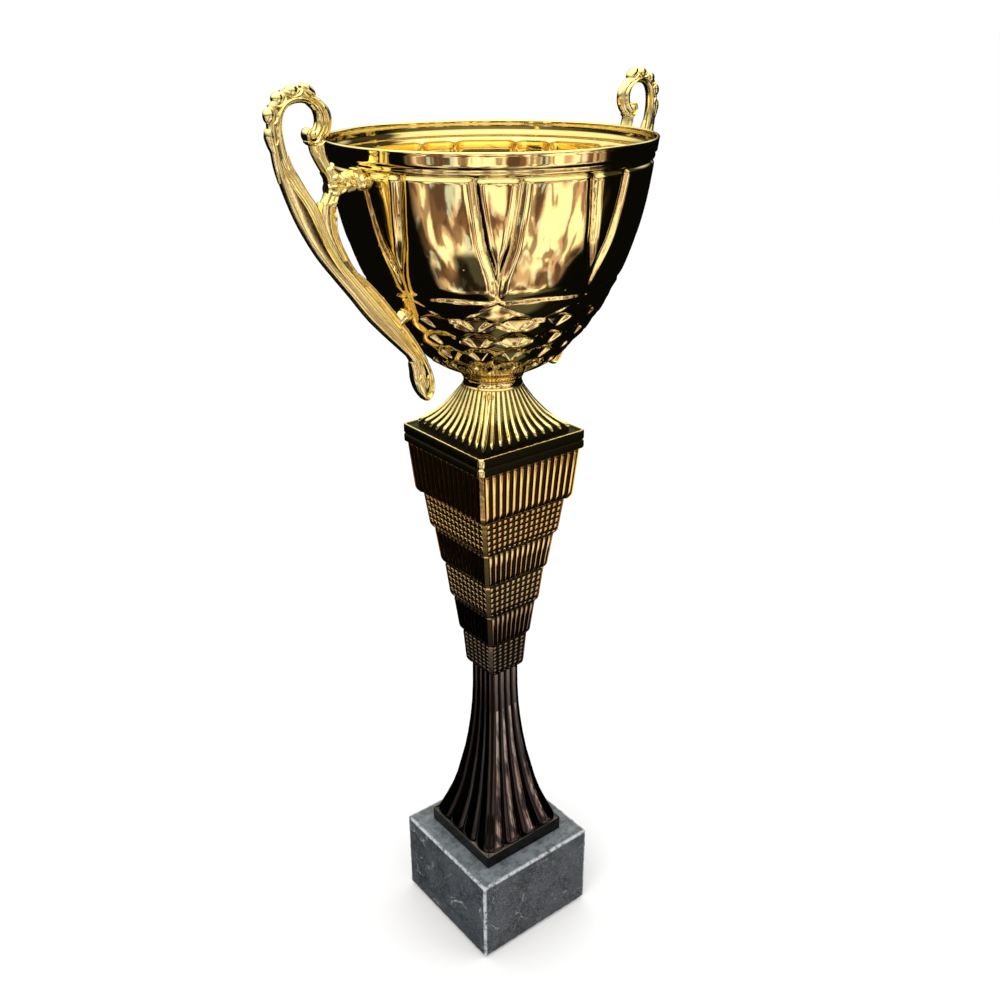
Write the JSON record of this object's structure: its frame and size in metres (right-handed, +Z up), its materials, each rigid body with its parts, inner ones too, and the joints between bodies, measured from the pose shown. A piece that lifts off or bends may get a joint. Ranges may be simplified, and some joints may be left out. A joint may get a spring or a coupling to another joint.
{
  "type": "cup trophy",
  "caption": "Two-handled trophy cup with a lobed and faceted bowl on a square collar, a stepped ribbed stem with a fluted foot, and a square stone base.",
  "frame": {"origin": "centre of the underside, on the plane of the four felt pads", "axes": "+Z up the stem; the handles lie along X; the base's sides face X and Y"},
  "size_m": [0.2482, 0.16, 0.5078],
  "materials": {
    "gold_plate": "polished",
    "bronze_ombre": "polished",
    "black_chrome": "polished",
    "grey_marble": "satin",
    "grey_felt": "matte",
    "zinc_steel": "satin"
  },
  "bodies": {
    "root": {"marble_base": "grey_marble", "stem_foot": "black_chrome", "stem_tiers": "bronze_ombre", "collar": "gold_plate", "neck_ring": "gold_plate", "cup_bowl": "gold_plate", "handle_left": "gold_plate", "handle_right": "gold_plate", "felt_pad_front_left": "grey_felt", "felt_pad_front_right": "grey_felt", "felt_pad_back_left": "grey_felt", "felt_pad_back_right": "grey_felt", "threaded_rod": "zinc_steel", "base_nut": "zinc_steel", "base_washer": "zinc_steel", "cup_nut": "zinc_steel", "cup_washer": "zinc_steel", "handle_screw_left_upper": "zinc_steel", "screw_washer_left_upper": "zinc_steel", "handle_screw_left_lower": "zinc_steel", "screw_washer_left_lower": "zinc_steel", "handle_screw_right_upper": "zinc_steel", "screw_washer_right_upper": "zinc_steel", "handle_screw_right_lower": "zinc_steel", "screw_washer_right_lower": "zinc_steel"}
  },
  "joints": []
}
